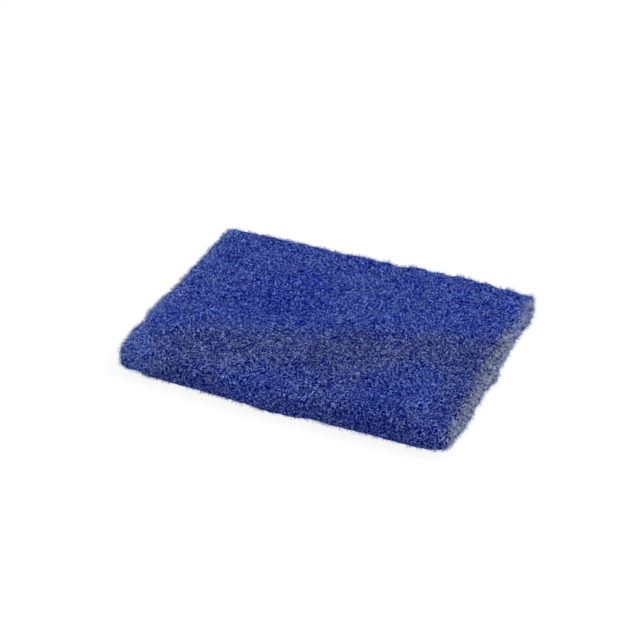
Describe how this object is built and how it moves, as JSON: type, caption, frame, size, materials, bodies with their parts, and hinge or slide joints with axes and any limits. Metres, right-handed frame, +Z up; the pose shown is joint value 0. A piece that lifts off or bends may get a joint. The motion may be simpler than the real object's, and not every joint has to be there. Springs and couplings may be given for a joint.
{
  "type": "scrub pad",
  "caption": "Flat oblong non-scratch scrub pad: one block of lofty non-woven nylon fibre with soft rims, wavy knife-cut sides and tufted faces, for wiping and scouring.",
  "frame": {"origin": "middle of the underside, the plane that the pad lies on", "axes": "+X along the long side, +Y along the short side, +Z up out of the upper face"},
  "size_m": [0.1, 0.075, 0.0098],
  "materials": {
    "scrub_pad": "dyed blue nylon fibre, non-woven, matt with a slight sheen on single fibres"
  },
  "bodies": {
    "root": {"scrub_pad": "scrub_pad"}
  },
  "joints": []
}
